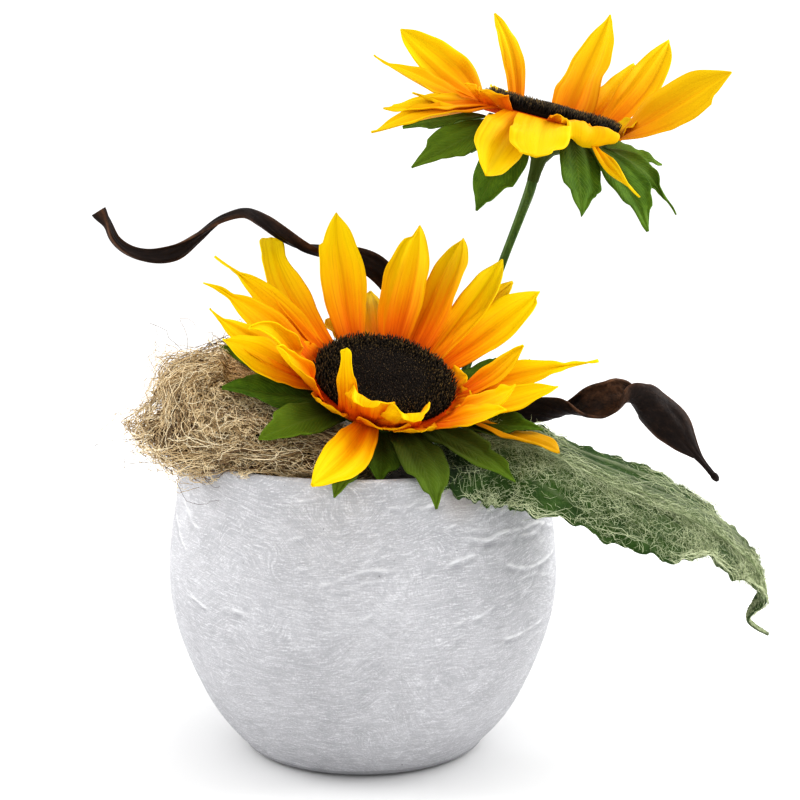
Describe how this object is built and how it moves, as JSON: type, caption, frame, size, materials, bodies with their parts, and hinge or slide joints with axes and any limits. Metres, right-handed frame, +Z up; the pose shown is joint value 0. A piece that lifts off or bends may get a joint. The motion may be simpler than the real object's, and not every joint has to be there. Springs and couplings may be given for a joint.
{
  "type": "potted sunflower arrangement",
  "caption": "Large sunflowers, a woolly leaf, twisted dry pods and a ball of dry fibre standing in foam in a round grey pot.",
  "frame": {"origin": "centre of the flat underside of the pot", "axes": "+Z up along the pot's axis, -Y towards the side that the front flower faces, +X to that viewer's right"},
  "size_m": [0.2571, 0.177, 0.2873],
  "materials": {
    "pot_finish": "matt, rough brushed coat with paler strokes and faint creases",
    "florist_foam": "dry, porous and nearly black",
    "dry_fibre": "dull tan plant fibre",
    "woolly_leaf": "green leaf under dense whitish wool",
    "dry_pod": "dark brown, dry, slightly glossy",
    "stem_green": "dull green",
    "sepal_green": "soft green leaf cloth",
    "petal_yellow": "thin cloth, orange at the root and yellow at the tip",
    "floret_brown": "short dark brown bristles"
  },
  "bodies": {
    "root": {"pot": "pot_finish", "foam": "florist_foam", "fibre_nest": "dry_fibre", "woolly_leaf": "woolly_leaf", "pod_left": "dry_pod", "pod_right": "dry_pod", "front_stem": "stem_green", "back_stem": "stem_green", "front_petals": "petal_yellow", "back_petals": "petal_yellow", "front_disc": "floret_brown", "back_disc": "floret_brown", "front_calyx": "sepal_green", "back_calyx": "sepal_green"}
  },
  "joints": []
}
